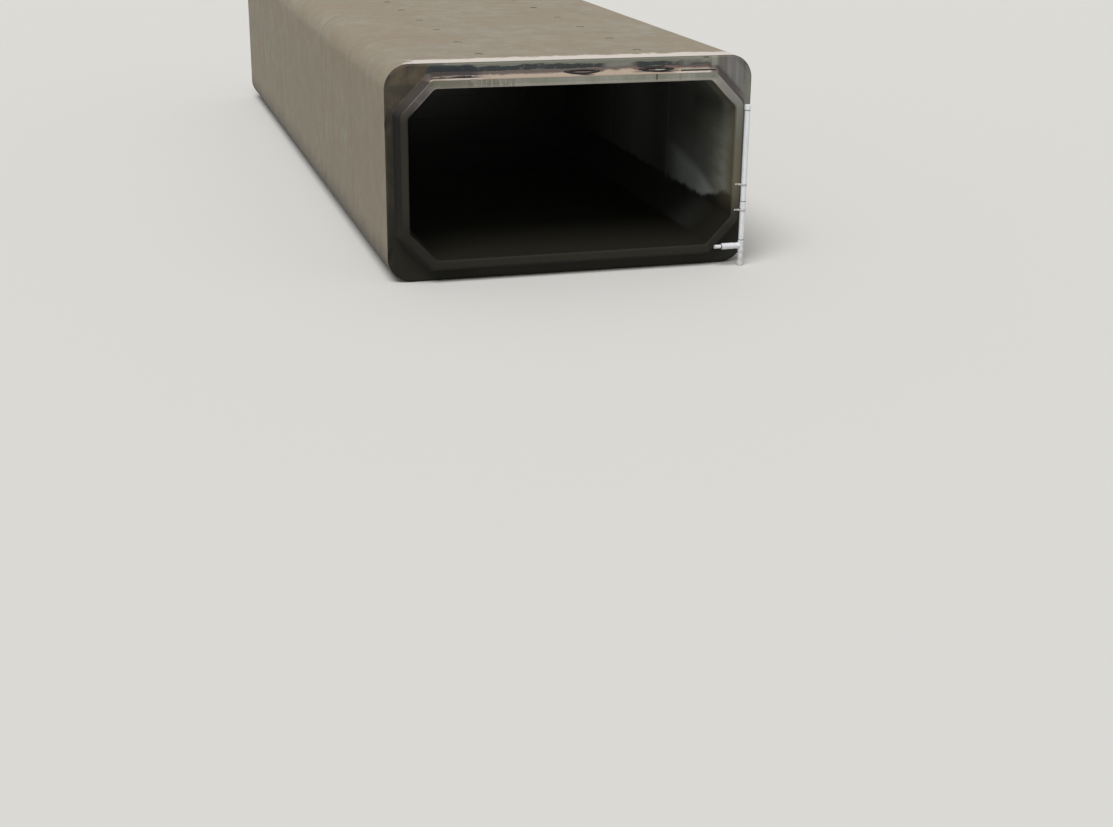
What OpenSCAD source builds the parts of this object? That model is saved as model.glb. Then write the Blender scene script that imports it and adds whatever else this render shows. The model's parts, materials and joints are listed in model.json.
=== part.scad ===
// Outlet end of a precast concrete box culvert with a gauge pipe beside it.
// X runs across the waterway, +Y upstream along the barrel, +Z up; millimetres.
// The origin is on the underside, at the middle of the whole length.

/* [Waterway] */
// Clear width of the waterway between the walls
span = 3658; // [2400:1:4900]
// Clear height of the waterway from floor to ceiling
rise = 1829; // [1300:1:3000]
// Width that each corner haunch takes from floor or ceiling
haunch_w = 290; // [150:1:450]
// Height that each corner haunch takes from the wall
haunch_h = 300; // [150:1:450]

/* [Concrete section] */
// Thickness of the side walls
wall_t = 229; // [200:1:400]
// Thickness of the floor and roof slabs
slab_t = 254; // [200:1:400]
// Size of the 45 degree cut on the outer corners
corner_cut = 160; // [80:1:200]
// How far each end of a corner cut is eased by a flatter facet
corner_ease = 60; // [20:1:75]
// Chamfer of the outer arris at the shoulder
shoulder_arris = 20; // [8:1:30]
// Chamfer of the rim's inner arris
rim_arris = 14; // [5:1:24]
// Laying length of one section
laying_l = 2134; // [1200:1:3000]

/* [Tongue and groove joint] */
// How far the tongue projects from the shoulder
tongue_l = 127; // [80:1:180]
// Thickness of the tongue at its tip
tongue_t = 95; // [70:1:110]
// How much thicker the tongue is at its root
tongue_taper = 51; // [20:1:60]
// Open gap between the ends of two laid sections
joint_gap = 12; // [6:1:30]
// Space between a tongue and the groove around it
joint_clear = 10; // [6:1:16]
// Length of the mastic bead along the joint
bead_l = 30; // [15:1:45]
// Depth of the mortar pointing in the inner gap
mortar_t = 40; // [20:1:60]
// How far the mortar lies back from the wall face
mortar_back = 3; // [0:0.5:8]

/* [Lifting holes] */
// Diameter of a lifting hole at the top of the roof slab
lift_top_d = 90; // [60:1:120]
// Diameter of a lifting hole at the ceiling
lift_low_d = 64; // [40:1:100]
// Spacing of the lifting holes across the section
lift_dx = 1800; // [800:1:2200]
// Spacing of the lifting holes along the section
lift_dy = 1000; // [400:1:1100]
// How far a plug lies below the top of the slab
plug_back = 8; // [2:1:20]

/* [Gauge pipe] */
// Outer diameter of the pipe
pipe_d = 60.3; // [48:0.1:90]
// Wall thickness of the pipe
pipe_wall = 3.9; // [2.8:0.1:6]
// Wall thickness of a socket around the pipe
hub_wall = 4.5; // [3.5:0.1:9]
// Wall thickness of the thin coupling around the riser
sleeve_wall = 2.6; // [2:0.1:5]
// Depth of a pipe socket
socket_l = 38; // [25:1:50]
// Thickness of the stop between two sockets
stop_l = 4; // [2:0.5:10]
// Space left between a pipe and its socket
slip_fit = 0.3; // [0.2:0.05:0.6]
// Space between the fittings and the rim behind them
rim_clear = 1.5; // [0.5:0.5:12]
// Overlap of the pipe with the outer edge of the rim, seen from the front
edge_lap = 4; // [0:0.5:15]
// How far the top of the cap lies below the ceiling
cap_drop = 271; // [60:1:500]
// Height of the lower end of the coupling
coupling_z = 657; // [560:1:800]
// Height of the tee's side arm
arm_z = 230; // [190:1:300]
// Distance from the tee's centre to each of its ends
tee_reach = 68; // [60:1:80]
// Reach of the side arm from the riser to the end of the nipple
arm_reach = 318; // [290:1:420]
// Length of the reducing coupling on the side arm
reducer_l = 151; // [120:1:170]
// Outer diameter of the intake nipple
nipple_d = 42.2; // [33:0.1:50]
// Length of nipple that shows beyond its coupling
nipple_l = 80; // [40:1:120]
// Outer height of the caps at the top and the foot
cap_l = 56; // [46:1:80]

/* [Straps] */
// Height of the upper strap's middle
strap_upper_z = 923; // [820:1:1400]
// Distance of the lower strap's middle below the coupling
strap_drop = 24; // [16:1:60]
// Width of the strap band
strap_w = 19; // [18:1:40]
// Thickness of the strap band
strap_t = 3; // [2:0.5:5]
// Length of the strap's tab on the rim face
tab_l = 58; // [45:1:75]
// Diameter of the anchor's shank
anchor_d = 8; // [5:0.5:10]
// Depth of the anchor in the concrete
anchor_l = 55; // [35:1:80]
// Width across the flats of the anchor's head
anchor_af = 13; // [8:1:17]
// Height of the anchor's head
anchor_head = 5.5; // [3:0.5:8]

/* [Loose sealant on the ledge] */
// Width of the sealant bead
seal_w = 22; // [12:1:34]
// Thickness of the sealant bead
seal_t = 13; // [5:0.5:16]
// Distance of the bead's middle from the tip of the tongue, along the slope
seal_row = 40; // [30:1:90]
// Where the left bead ends, measured from the middle of the opening
seal_left_end = -1150; // [-1350:1:-900]
// Where the right bead starts, measured from the middle of the opening
seal_right_start = 1180; // [1150:1:1280]
// Place of the middle loop along the ledge
loop_mid_x = 70; // [-200:1:300]
// Length of the middle loop
loop_mid_l = 420; // [260:1:480]
// Place of the right loop along the ledge
loop_right_x = 910; // [700:1:940]
// Length of the right loop
loop_right_l = 420; // [260:1:440]
// How far a loop's front strand sags towards the lip
loop_sag = 58; // [40:1:62]
// How far a loop's back strand rises towards the shoulder
loop_back = 24; // [14:1:34]

/* [Hidden] */
$fn = 48;
// Sections in the barrel, each with a node of its own
section_count = 6;
half_span = span / 2;
half_rise = rise / 2;
outer_x = half_span + wall_t;
outer_z = half_rise + slab_t;
// Height of the waterway's centre line above the underside
mid_z = outer_z;
// The haunch face's outward direction, as parts of one
haunch_len = sqrt(haunch_w * haunch_w + haunch_h * haunch_h);
haunch_nx = haunch_h / haunch_len;
haunch_nz = haunch_w / haunch_len;
// Pieces that only lie on another keep this far off it
seat = 0.3;
// A cut runs past the face that it opens by this much
past = 5;

pipe_r = pipe_d / 2;
socket_r = pipe_r + slip_fit;
hub_r = socket_r + hub_wall;
sleeve_r = socket_r + sleeve_wall;
bore_r = pipe_r - pipe_wall;
nipple_r = nipple_d / 2;
coupling_l = 2 * socket_l + stop_l;

barrel_l = section_count * laying_l - joint_gap;
front_reach = tongue_l + rim_clear + 2 * hub_r;
shoulder_y = front_reach - (barrel_l + front_reach) / 2;
tip_y = shoulder_y - tongue_l;
riser_x = half_span + tongue_t + pipe_r - edge_lap;
riser_y = tip_y - rim_clear - hub_r;
cap_floor = cap_l - socket_l;
tee_socket = tee_reach - socket_l;
reducer_x = riser_x - arm_reach + nipple_l;
riser_top = slab_t + rise - cap_drop;
strap_lower_z = coupling_z - strap_drop;
anchor_x = riser_x - pipe_r - tab_l * 0.62;
slope_angle = atan2(tongue_taper, tongue_l);
slope_l = sqrt(tongue_l * tongue_l + tongue_taper * tongue_taper);

// Corner of the waterway's outline on the slab line, grown outward by g
function haunch_x(g) = (haunch_nx * (half_span - haunch_w) + haunch_nz * half_rise + g
    - haunch_nz * (half_rise + g)) / haunch_nx;
// Corner of the waterway's outline on the wall line, grown outward by g
function haunch_z(g) = (haunch_nx * (half_span - haunch_w) + haunch_nz * half_rise + g
    - haunch_nx * (half_span + g)) / haunch_nz;
// Eight corners of the waterway's outline, grown outward by g, from its centre
function waterway(g) = let (x = half_span + g, z = half_rise + g, a = haunch_x(g), b = haunch_z(g))
    [[x, -b], [x, b], [a, z], [-a, z], [-x, b], [-x, -b], [-a, -z], [a, -z]];
// Thickness of the tongue at a distance y behind its tip
function tongue_at(y) = tongue_t + tongue_taper * y / tongue_l;
// The shoulder's place of section i, counted from 0 at the outlet
function shoulder(i) = shoulder_y + i * laying_l;

// Carries a flat outline along the barrel from y by a length
module along(y, length)
    translate([0, y + length, mid_z]) rotate([90, 0, 0]) linear_extrude(length) children();

// Solid through outlines of equally many corners, each at its place along the barrel
module skin(outlines, places) {
    n = len(outlines[0]);
    last = len(places) - 1;
    translate([0, 0, mid_z]) polyhedron([for (k = [0 : last], p = outlines[k]) [p.x, places[k], p.y]],
        concat([[for (i = [n - 1 : -1 : 0]) i]], [[for (i = [0 : n - 1]) last * n + i]],
            [for (k = [0 : last - 1], i = [0 : n - 1])
                [k * n + i, k * n + (i + 1) % n, (k + 1) * n + (i + 1) % n, (k + 1) * n + i]]));
}

// Solid between two grown waterway outlines at two places along the barrel
module loft(g_front, y_front, g_back, y_back)
    skin([waterway(g_front), waterway(g_back)], [y_front, y_back]);

// The section's outer outline, moved inward by g: each corner has a cut with eased ends
function outside(g) = let (x = outer_x - g, z = outer_z - g, c = corner_cut - g * (2 - sqrt(2)),
        e = corner_ease, d = e / sqrt(2),
        q = [[x, z - c - e], [x - d, z - c + d], [x - c + d, z - d], [x - c - e, z]])
    concat(q, [for (i = [3 : -1 : 0]) [-q[i].x, q[i].y]], [for (p = q) -p],
        [for (i = [3 : -1 : 0]) [q[i].x, -q[i].y]]);

// Tapered lifting holes of one section, or the plugs that fill them
module lift_cones(y, gap, top, low) {
    taper = (lift_top_d - lift_low_d) / 2 / slab_t;
    z_low = mid_z + half_rise + low;
    z_top = mid_z + outer_z + top;
    for (sx = [-1, 1], sy = [-1, 1])
        translate([sx * lift_dx / 2, y + laying_l / 2 + sy * lift_dy / 2, z_low])
            cylinder(h = z_top - z_low, r1 = lift_low_d / 2 + taper * low - gap,
                r2 = lift_top_d / 2 + taper * top - gap);
}

// One precast section with its tongue in front and its groove behind
module section(i) {
    y = shoulder(i);
    next = shoulder(i + 1);
    color([0.60, 0.59, 0.55]) difference() {
        union() {
            skin([outside(shoulder_arris), outside(0), outside(0)],
                [y, y + shoulder_arris, next - joint_gap]);
            loft(tongue_t, y - tongue_l, tongue_at(tongue_l + past), y + past);
        }
        along(y - tongue_l - past, laying_l + tongue_l + past) polygon(waterway(0));
        loft(tongue_at(-joint_gap) + joint_clear, next - tongue_l - joint_gap,
            tongue_at(tongue_l + past) + joint_clear, next + past);
        loft(rim_arris + past, y - tongue_l - past, -past, y - tongue_l + rim_arris + past);
        lift_cones(y, 0, past, -past);
        if (i == 0) anchor_holes();
    }
}

module outlet_section() section(0);
module barrel_section_2() section(1);
module barrel_section_3() section(2);
module barrel_section_4() section(3);
module barrel_section_5() section(4);
module barrel_section_6() section(5);

// Pointing mortar in the inner gap between section i and the one before it
module joint_mortar(i)
    color([0.70, 0.69, 0.65]) along(shoulder(i) - tongue_l - joint_gap, joint_gap) difference() {
        polygon(waterway(mortar_back + mortar_t));
        polygon(waterway(mortar_back));
    }

// Mastic bead squeezed between the tongue of section i and the groove around it
module joint_bead(i) {
    from = (tongue_l - bead_l) / 2;
    to = from + bead_l;
    y = shoulder(i) - tongue_l;
    outer = joint_clear - seat;
    color([0.12, 0.12, 0.12]) difference() {
        loft(tongue_at(from) + outer, y + from, tongue_at(to) + outer, y + to);
        loft(tongue_at(from - past) + seat, y + from - past, tongue_at(to + past) + seat, y + to + past);
    }
}

module joint_mortar_1() joint_mortar(1);
module joint_mortar_2() joint_mortar(2);
module joint_mortar_3() joint_mortar(3);
module joint_mortar_4() joint_mortar(4);
module joint_mortar_5() joint_mortar(5);
module joint_bead_1() joint_bead(1);
module joint_bead_2() joint_bead(2);
module joint_bead_3() joint_bead(3);
module joint_bead_4() joint_bead(4);
module joint_bead_5() joint_bead(5);

module lift_hole_plugs()
    color([0.50, 0.49, 0.46]) for (i = [0 : section_count - 1])
        lift_cones(shoulder(i), seat, -plug_back, mortar_back);

// Stands a profile of radius and height on the riser's axis at height z
module turned(z) translate([riser_x, riser_y, z]) rotate_extrude() children();

module pipe_piece(length, r_out, r_in) difference() {
    cylinder(h = length, r = r_out);
    translate([0, 0, -past]) cylinder(h = length + 2 * past, r = r_in);
}

// Profile of a slip cap, open end down; its outer top edge is rounded
module cap_profile() {
    edge = hub_wall;
    difference() {
        union() {
            square([hub_r - edge, cap_l]);
            square([hub_r, cap_l - edge]);
            translate([hub_r - edge, cap_l - edge]) circle(edge);
        }
        translate([-past, -past]) square([past, cap_l + 2 * past]);
        translate([0, -past]) square([socket_r, socket_l + past]);
    }
}

// Profile of a thin straight coupling with a stop between its two sockets
module coupling_profile() difference() {
    square([sleeve_r, coupling_l]);
    translate([0, -past]) square([socket_r, socket_l + past]);
    translate([0, -past]) square([bore_r, coupling_l + 2 * past]);
    translate([0, socket_l + stop_l]) square([socket_r, socket_l + past]);
}

module riser_cap() color("white") turned(riser_top - cap_l) cap_profile();

module riser_upper() {
    z = coupling_z + socket_l + stop_l;
    color("white") translate([riser_x, riser_y, z])
        pipe_piece(riser_top - cap_floor - z, pipe_r, bore_r);
}

module riser_coupling() color("white") turned(coupling_z) coupling_profile();

module riser_lower() {
    z = arm_z + tee_socket;
    color("white") translate([riser_x, riser_y, z])
        pipe_piece(coupling_z + socket_l - z, pipe_r, bore_r);
}

// Tee with sockets above, below and towards the waterway; its body is slimmer than its hubs
module intake_tee() color("white") translate([riser_x, riser_y, arm_z]) difference() {
    union() {
        translate([0, 0, -tee_reach + 1]) cylinder(h = 2 * tee_reach - 2, r = hub_r - 2);
        rotate([0, -90, 0]) cylinder(h = tee_reach - 1, r = hub_r - 2);
        for (turn = [[0, 0, 0], [180, 0, 0], [0, -90, 0]])
            rotate(turn) translate([0, 0, tee_socket - 2]) cylinder(h = socket_l + 2, r = hub_r);
    }
    translate([0, 0, -tee_reach - past]) cylinder(h = 2 * (tee_reach + past), r = bore_r);
    rotate([0, -90, 0]) cylinder(h = tee_reach + past, r = bore_r);
    for (turn = [[0, 0, 0], [180, 0, 0], [0, -90, 0]])
        rotate(turn) translate([0, 0, tee_socket]) cylinder(h = socket_l + past, r = socket_r);
}

module riser_stub() color("white") translate([riser_x, riser_y, cap_floor])
    pipe_piece(arm_z - tee_socket - cap_floor, pipe_r, bore_r);

module foot_cap() color("white") translate([riser_x, riser_y, cap_l]) mirror([0, 0, 1])
    rotate_extrude() cap_profile();

// Places a turned piece on the side arm's axis, from x towards the waterway
module on_arm(x) translate([x, riser_y, arm_z]) rotate([0, -90, 0]) children();

module intake_arm() color("white") on_arm(riser_x - tee_socket)
    pipe_piece(riser_x - tee_socket - (reducer_x + reducer_l - socket_l), pipe_r, bore_r);

// Long reducing coupling: the pipe's socket on the right, the nipple's on the left
module arm_reducer() color("white") on_arm(reducer_x + reducer_l) rotate_extrude() {
    bevel = 6;
    difference() {
        polygon([[0, 0], [hub_r, 0], [hub_r, reducer_l - bevel], [hub_r - bevel, reducer_l],
            [0, reducer_l]]);
        translate([0, -past]) square([socket_r, socket_l + past]);
        translate([0, -past]) square([nipple_r - pipe_wall, reducer_l + 2 * past]);
        polygon([[0, socket_l - 1], [bore_r, socket_l - 1], [bore_r, reducer_l - socket_l - 2 * stop_l],
            [nipple_r - pipe_wall, reducer_l - socket_l - stop_l], [0, reducer_l - socket_l - stop_l]]);
        translate([0, reducer_l - socket_l]) square([nipple_r + slip_fit, socket_l + past]);
    }
}

module intake_nipple() color("white") on_arm(reducer_x + socket_l)
    pipe_piece(socket_l + nipple_l, nipple_r, nipple_r - pipe_wall);

// One-hole strap: a tab on the rim face, a leg, and a band round the pipe
module strap(z) {
    inner = pipe_r + seat;
    outer = inner + strap_t;
    depth = tip_y - riser_y;
    tip_r = strap_w / 2;
    color([0.85, 0.85, 0.84]) translate([riser_x, riser_y, z]) difference() {
        union() {
            translate([0, 0, -strap_w / 2]) linear_extrude(strap_w) {
                difference() {
                    circle(outer);
                    circle(inner);
                    polygon([[0, 0], [-2 * outer, 0], [-2 * outer, 2 * outer],
                        [0.8 * outer, 2 * outer]]);
                }
                translate([-outer, 0]) square([strap_t, depth]);
            }
            translate([-pipe_r - tab_l + tip_r, depth - strap_t, -strap_w / 2])
                cube([tab_l - tip_r, strap_t, strap_w]);
            translate([-pipe_r - tab_l + tip_r, depth, 0]) rotate([90, 0, 0])
                cylinder(h = strap_t, r = tip_r);
        }
        translate([anchor_x - riser_x, depth + past, 0]) rotate([90, 0, 0])
            cylinder(h = strap_t + 2 * past, r = anchor_d / 2 + seat);
    }
}

// Hex head with a washer face on the tab, and a shank in the rim
module anchor(z) color([0.55, 0.54, 0.52]) translate([anchor_x, tip_y, z]) rotate([90, 0, 0]) {
    translate([0, 0, -anchor_l]) cylinder(h = anchor_l + strap_t + anchor_head / 2, r = anchor_d / 2);
    translate([0, 0, strap_t]) cylinder(h = anchor_head / 4, d = anchor_af * 1.3);
    translate([0, 0, strap_t]) cylinder(h = anchor_head, d = anchor_af / cos(30), $fn = 6);
}

// Drilled holes in the rim that take the anchors
module anchor_holes() for (z = [strap_upper_z, strap_lower_z])
    translate([anchor_x, tip_y - past, z]) rotate([-90, 0, 0])
        cylinder(h = anchor_l + past + 2, r = anchor_d / 2 + seat);

module strap_upper() strap(strap_upper_z);
module strap_lower() strap(strap_lower_z);
module anchor_upper() anchor(strap_upper_z);
module anchor_lower() anchor(strap_lower_z);

// Lays pieces on the tongue's upper slope, with x along the ledge, y up the slope
module on_ledge() translate([0, tip_y, mid_z + half_rise + tongue_t])
    rotate([slope_angle, 0, 0]) translate([0, 0, seat]) children();

// Straight sealant bead from x to x_end, flat below and crowned above
module sealant_bead(x, x_end) color([0.16, 0.14, 0.12]) on_ledge()
    translate([x, seal_row, 0]) rotate([90, 0, 90]) linear_extrude(x_end - x)
        polygon([[-seal_w / 2, 0], [seal_w / 2, 0], [seal_w / 2, seal_t * 0.45],
            [seal_w / 4, seal_t], [-seal_w / 4, seal_t], [-seal_w / 2, seal_t * 0.45]]);

// Radius of an arc over a chord of that length with that rise
function arc_r(length, rise_at_middle) =
    (length * length / 4 + rise_at_middle * rise_at_middle) / (2 * rise_at_middle);

// Sealant that came loose and lies on the ledge as a long flat loop of two arcs with blunt ends
module sealant_loop(x, length) {
    strip = seal_w * 0.85;
    front_r = arc_r(length, loop_sag);
    back_r = arc_r(length, loop_back);
    blunt = length * 0.95;
    color([0.16, 0.14, 0.12]) on_ledge() translate([x, slope_l * 0.6, 0]) linear_extrude(seal_t)
        difference() {
            intersection() {
                translate([0, front_r - loop_sag]) circle(front_r, $fn = 240);
                translate([0, loop_back - back_r]) circle(back_r, $fn = 480);
                square([blunt, 4 * loop_sag], center = true);
            }
            intersection() {
                translate([0, front_r - loop_sag]) circle(front_r - strip, $fn = 240);
                translate([0, loop_back - back_r]) circle(back_r - strip, $fn = 480);
            }
        }
}

module ledge_sealant_left() sealant_bead(-haunch_x(tongue_t), seal_left_end);
module ledge_sealant_right() sealant_bead(seal_right_start, haunch_x(tongue_t));
module sealant_loop_middle() sealant_loop(loop_mid_x, loop_mid_l);
module sealant_loop_right() sealant_loop(loop_right_x, loop_right_l);

outlet_section();
barrel_section_2();
barrel_section_3();
barrel_section_4();
barrel_section_5();
barrel_section_6();
joint_mortar_1();
joint_mortar_2();
joint_mortar_3();
joint_mortar_4();
joint_mortar_5();
joint_bead_1();
joint_bead_2();
joint_bead_3();
joint_bead_4();
joint_bead_5();
lift_hole_plugs();
riser_cap();
riser_upper();
riser_coupling();
riser_lower();
intake_tee();
riser_stub();
foot_cap();
intake_arm();
arm_reducer();
intake_nipple();
strap_upper();
strap_lower();
anchor_upper();
anchor_lower();
ledge_sealant_left();
ledge_sealant_right();
sealant_loop_middle();
sealant_loop_right();
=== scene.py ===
"""Looks of a precast box culvert outlet and its gauge pipe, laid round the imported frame.

Lengths are metres, and the sizes of patterns are millimetres. +X runs across the waterway, +Y upstream
and +Z up, as in the frame.
"""

import json
import math

import bpy
import numpy as np
from bpy.props import FloatProperty, FloatVectorProperty, IntProperty, PointerProperty
from bpy.types import NodeSocket, Operator, Panel, PropertyGroup
from mathutils import Matrix, Vector


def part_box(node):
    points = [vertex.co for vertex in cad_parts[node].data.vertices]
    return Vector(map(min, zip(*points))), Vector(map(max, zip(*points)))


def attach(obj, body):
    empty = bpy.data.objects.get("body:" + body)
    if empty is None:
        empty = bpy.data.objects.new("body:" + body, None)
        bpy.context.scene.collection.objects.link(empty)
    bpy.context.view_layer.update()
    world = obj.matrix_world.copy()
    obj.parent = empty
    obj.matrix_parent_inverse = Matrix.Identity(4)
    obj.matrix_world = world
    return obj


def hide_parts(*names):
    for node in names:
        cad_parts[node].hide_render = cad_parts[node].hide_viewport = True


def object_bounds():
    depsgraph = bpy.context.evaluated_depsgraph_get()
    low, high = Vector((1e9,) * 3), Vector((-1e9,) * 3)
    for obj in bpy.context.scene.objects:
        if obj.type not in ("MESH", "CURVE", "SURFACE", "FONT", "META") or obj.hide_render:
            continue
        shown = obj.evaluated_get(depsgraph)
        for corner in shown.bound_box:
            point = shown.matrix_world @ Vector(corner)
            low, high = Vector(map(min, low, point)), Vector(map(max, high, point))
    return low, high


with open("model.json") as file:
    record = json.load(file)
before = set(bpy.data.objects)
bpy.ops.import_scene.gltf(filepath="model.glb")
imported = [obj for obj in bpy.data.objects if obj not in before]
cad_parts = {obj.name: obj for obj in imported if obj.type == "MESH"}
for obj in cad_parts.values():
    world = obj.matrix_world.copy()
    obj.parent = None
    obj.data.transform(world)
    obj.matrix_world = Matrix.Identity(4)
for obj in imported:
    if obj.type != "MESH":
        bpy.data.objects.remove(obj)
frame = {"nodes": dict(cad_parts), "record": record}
cad_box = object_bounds()

bl_info = {
    "name": "Box culvert outlet",
    "version": (1, 0, 0),
    "blender": (4, 5, 0),
    "location": "3D Viewport > Sidebar > Culvert",
    "description": "Weathered precast box culvert with a tongue rim, a gauge pipe and a plain stage",
    "category": "Object",
}

MM = 0.001
WATERWAY_EASE = 18 * MM

mount_y = {mount["name"]: mount["pos_m"][1] for mount in frame["record"]["mounts"]}
TIP_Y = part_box("outlet_section")[0].y
SHOULDER_Y = mount_y["outlet_shoulder"]
HALF_WIDTH = cad_box[1].x
TOP_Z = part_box("outlet_section")[1].z
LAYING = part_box("barrel_section_3")[0].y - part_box("barrel_section_2")[0].y
JOINT_GAP = SHOULDER_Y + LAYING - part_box("outlet_section")[1].y
# Heights between which damp faces turn wet, from dry to wet
WET_FOOT = (1.0, 0.42)
# Number of bites out of the arrises of the outlet, and of each section behind it
OUTLET_BITES, BARREL_BITES = 30, 12
# Where the random draws start
BITE_SEED, WEAR_SEED, SEEDS_APART, PEBBLE_SEED = 7, 40, 3, 11
# Width of the picture, and how far its middle lies from the camera's axis, in pixels
PICTURE_WIDTH = 1113
PICTURE_SHIFT = (-6, 4)


def nodes_of(slot):
    """The frame's nodes with that material slot of the record, outlet first."""
    return [part["node"] for part in frame["record"]["subparts"] if part["material_slot"] == slot]


def linear(code):
    """Turns an sRGB hex code such as #A0A090 into linear red, green and blue."""
    parts = [int(code[i:i + 2], 16) / 255 for i in (1, 3, 5)]
    return tuple(c / 12.92 if c <= 0.04045 else ((c + 0.055) / 1.055) ** 2.4 for c in parts)


def colour(name, code):
    """A colour setting with that name and sRGB hex default."""
    return FloatVectorProperty(name=name, description=name + " as the eye sees it in plain daylight",
                               subtype="COLOR", size=3, min=0, max=1, default=linear(code))


def length(name, description, default, low, high):
    """A length setting in metres."""
    return FloatProperty(name=name, description=description, default=default, min=low, max=high,
                         precision=4, unit="LENGTH")


class CulvertSizes(PropertyGroup):
    """Sizes of the sections, which repeat those of the frame, and of their wear, silt and pebbles."""

    span: length("Clear width", "Width of the waterway between its walls", 3.658, 2.4, 4.9)
    rise: length("Clear height", "Height of the waterway from floor to ceiling", 1.829, 1.3, 3.0)
    haunch_width: length("Haunch width", "Width of each corner haunch", 0.290, 0.15, 0.45)
    haunch_height: length("Haunch height", "Height of each corner haunch", 0.300, 0.15, 0.45)
    corner_cut: length("Corner cut", "Size of the cut on the outer corners", 0.160, 0.08, 0.2)
    corner_ease: length("Corner ease", "How far the ends of a corner cut are rounded", 0.060, 0.02, 0.075)
    shoulder_arris: length("Shoulder chamfer", "Chamfer of the shoulder's outer edge", 0.020, 0.008, 0.03)
    rim_arris: length("Rim chamfer", "Chamfer of the rim's inner edge", 0.014, 0.005, 0.024)
    tongue_tip: length("Tongue tip", "Thickness of the tongue at its tip", 0.095, 0.07, 0.11)
    tongue_taper: length("Tongue taper", "How much thicker the tongue is at its root", 0.051, 0.02, 0.06)
    joint_clear: length("Joint clearance", "Space between a tongue and its groove", 0.010, 0.006, 0.016)
    hole_top: length("Lifting hole top", "Diameter of a lifting hole at the roof", 0.090, 0.06, 0.12)
    hole_low: length("Lifting hole bottom", "Diameter of a lifting hole at the ceiling", 0.064, 0.04, 0.1)
    hole_across: length("Hole spacing across", "Spacing of the holes across a section", 1.8, 0.8, 2.2)
    hole_along: length("Hole spacing along", "Spacing of the holes along a section", 1.0, 0.4, 1.1)
    chip: length("Chip size", "Radius of the largest bites out of the edges", 0.048, 0.01, 0.12)
    outlet_step: length("Outlet mesh step", "Longest step of the outlet's mesh", 0.034, 0.02, 0.2)
    barrel_step: length("Barrel mesh step", "Longest step of the other sections' mesh", 0.085, 0.04, 0.4)
    silt_depth: length("Silt depth", "Depth of the silt at the back of the ledge", 0.013, 0.0, 0.06)
    pebble_count: IntProperty(name="Pebbles", description="Number of pebbles on the ledge",
                              default=14, min=0, max=400)


class CulvertColours(PropertyGroup):
    """Colours of the finishes, in sRGB hex turned to linear."""

    rim: colour("Rim concrete", "#898A7D")
    rim_dark: colour("Rim concrete, darker tone", "#77786C")
    shoulder: colour("Shoulder concrete", "#878779")
    run: colour("Olive water runs", "#565240")
    slate_stain: colour("Slate grey stain", "#33393C")
    ledge: colour("Dried silt on the ledge", "#A49485")
    # Brown soil at the back of the ledge, with the shoulder's shadow painted in
    ledge_rear_soil_and_shadow: colour("Brown soil at the back of the ledge", "#5F5651")
    red_soil: colour("Red soil in patches", "#6E5750")
    # Purple brown stain; on the haunches it is also painted shade
    haunch_stain_and_shade: colour("Purple brown haunch stain", "#494243")
    # Painted shade: laid on the left side, where it also stands for damp growth, and under the waterway's
    # top haunch
    shade: colour("Dark damp growth on the left side", "#3B382F")
    # Bleached roof edge; also laid as painted highlights on the rim's edges
    roof: colour("Bleached roof edge", "#C7BFB7")
    soil: colour("Soil stain", "#7E6B55")
    side: colour("Buried side concrete", "#8D897C")
    ash: colour("Ash grey wash on the right corner", "#7A7877")
    damp: colour("Damp inner concrete", "#939489")
    deep: colour("Dark inner concrete", "#3F403E")
    # Wet film on the floor and foot; also laid as painted shade on the left side and deep inside the
    # waterway
    wet: colour("Wet film on the floor", "#1B1A13")
    silt: colour("Dried silt on the inner wall", "#ABB2AD")
    formed: colour("Clean formed concrete", "#9C9B92")
    mortar: colour("Joint mortar", "#A3A093")
    # Joint mastic; also laid as painted shadow on the ledge and as painted shade on its left side
    mastic: colour("Joint mastic", "#13100F")
    pipe: colour("White pipe", "#DDDFE3")
    strap: colour("White strap", "#CFCFCB")
    zinc: colour("Dull zinc", "#9A9892")
    rust: colour("Rust", "#6B3A22")
    pebble: colour("Pebble", "#8B7C74")


class CulvertStage(PropertyGroup):
    """Camera, lights and floor."""

    lens: FloatProperty(name="Lens", description="Focal length for a 36 mm wide sensor, in millimetres",
                        default=52.873, min=20, max=200)
    eye: FloatVectorProperty(name="Eye", description="Place of the camera", subtype="TRANSLATION",
                             unit="LENGTH", size=3, default=(-5.1579, SHOULDER_Y - 16.8444, 4.7639))
    turn: FloatVectorProperty(name="Down, right and roll", description="Angles of the camera",
                              subtype="EULER", unit="ROTATION", size=3,
                              default=tuple(math.radians(a) for a in (20.2223, 16.7895, 0.7844)))
    shift: FloatVectorProperty(name="Shift", description="Shift of the picture, in picture widths",
                               size=2, default=[pixels / PICTURE_WIDTH for pixels in PICTURE_SHIFT])
    sun: FloatProperty(name="Key light", description="Strength of the key light", default=2.7, min=0, max=20)
    sky: FloatProperty(name="Fill light", description="Strength of the light from all round",
                       default=0.42, min=0, max=5)
    floor: colour("Floor", "#C9C8C4")
    backdrop: colour("Backdrop", "#E6E5E2")


def add(tree, kind, inputs=(), out=0, **settings):
    """Adds a node, sets its properties, gives each listed input a value or a link, returns an output."""
    node = tree.nodes.new("ShaderNode" + kind)
    for name, value in settings.items():
        setattr(node, name, value)
    for key, value in dict(inputs).items():
        socket = node.inputs[key]
        if isinstance(value, NodeSocket):
            tree.links.new(value, socket)
        elif socket.type == "RGBA":
            socket.default_value = (*value, 1)
        else:
            socket.default_value = value
    return node.outputs[out] if len(node.outputs) else node


def begin(name):
    """Starts a material and returns it with its tree, its Object coordinates and their X, Y and Z."""
    material = bpy.data.materials.new(name)
    material.use_nodes = True
    tree = material.node_tree
    tree.nodes.clear()
    place = add(tree, "TexCoord", out="Object")
    return material, tree, place, tuple(add(tree, "SeparateXYZ", {0: place}).node.outputs)


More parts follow.
